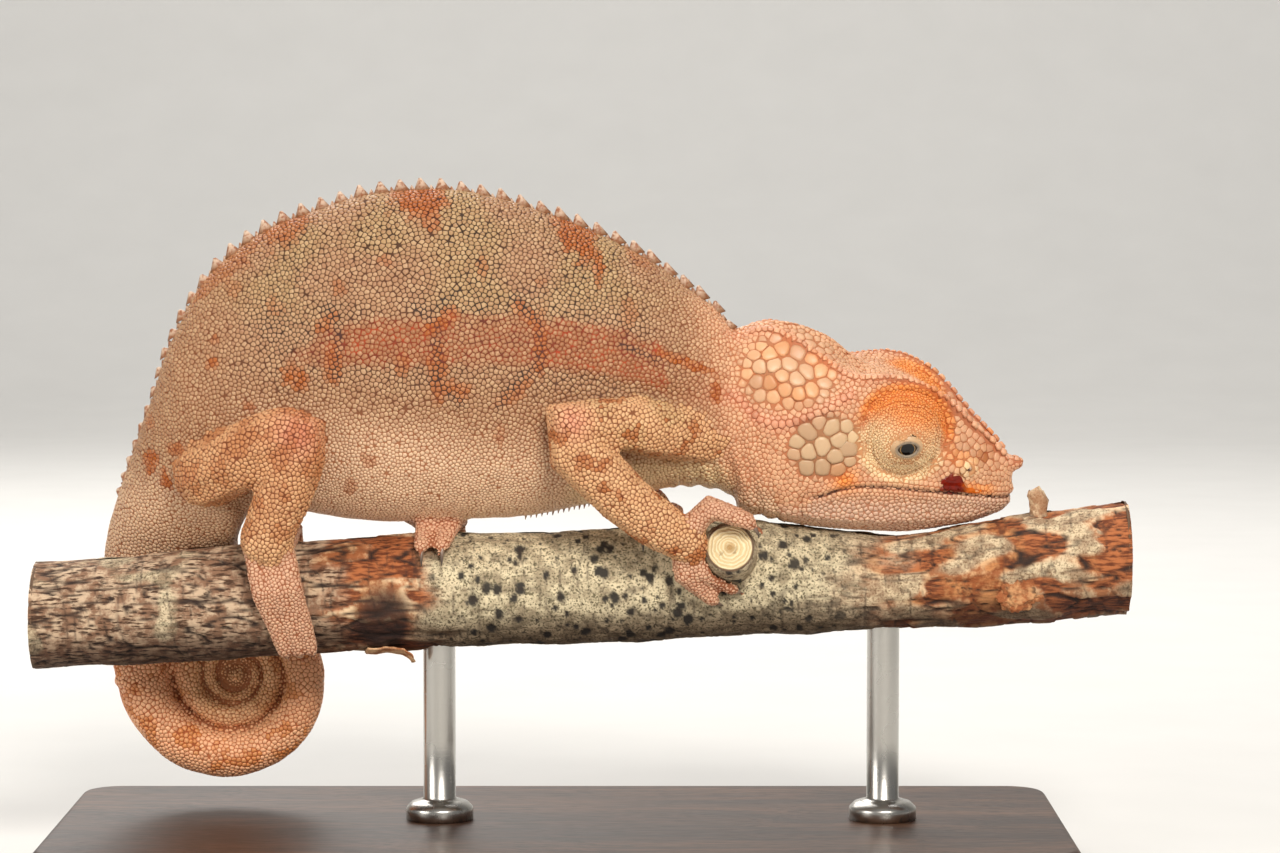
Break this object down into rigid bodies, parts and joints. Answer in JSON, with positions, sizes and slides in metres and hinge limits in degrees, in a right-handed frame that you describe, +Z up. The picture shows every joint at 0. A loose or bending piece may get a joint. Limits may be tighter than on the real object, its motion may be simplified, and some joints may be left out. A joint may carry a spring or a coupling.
{
  "type": "chameleon model on a branch perch with display stand",
  "caption": "Life-size still model of an adult chameleon with a coiled tail, gripping a cut length of bark-covered branch, held above a flat base by short rods.",
  "frame": {"origin": "middle of the underside of the stand's base", "axes": "+X towards the head, +Z up, the right flank towards -Y"},
  "size_m": [0.162, 0.064, 0.1032],
  "materials": {
    "flank_scales": "painted granular scales, faint sheen",
    "belly_scales": "pale fine scales, faint sheen",
    "head_scales": "large plates and tubercles, faint sheen",
    "limb_scales": "small granular scales",
    "lid_scales": "rings of fine scales round the eye",
    "eyeball": "wet gloss",
    "claw": "dark translucent horn",
    "bark": "lichened and peeling bark, pale cut ends",
    "base_wood": "satin lacquered walnut",
    "rod_steel": "fine turned steel"
  },
  "bodies": {
    "root": {"perch": "bark", "stand_base": "base_wood", "stand_rod_front": "rod_steel", "stand_rod_rear": "rod_steel", "head": "head_scales", "jaw": "head_scales", "eyelid_right": "lid_scales", "eye_right": "eyeball", "eyelid_left": "lid_scales", "eye_left": "eyeball", "neck": "flank_scales", "chest": "flank_scales", "belly": "belly_scales", "hips": "flank_scales", "tail_base": "flank_scales", "tail_drop": "flank_scales", "coil_outer": "flank_scales", "coil_rear": "flank_scales", "coil_middle": "flank_scales", "coil_tip": "flank_scales", "fore_right_upper": "limb_scales", "fore_right_lower": "limb_scales", "fore_right_inner_toes": "limb_scales", "fore_right_outer_toes": "limb_scales", "fore_left_upper": "limb_scales", "fore_left_lower": "limb_scales", "fore_left_inner_toes": "limb_scales", "fore_left_outer_toes": "limb_scales", "hind_right_thigh": "limb_scales", "hind_right_shank": "limb_scales", "hind_right_inner_toes": "limb_scales", "hind_right_outer_toes": "limb_scales", "hind_left_thigh": "limb_scales", "hind_left_shank": "limb_scales", "hind_left_inner_toes": "limb_scales", "hind_left_outer_toes": "limb_scales"}
  },
  "joints": []
}
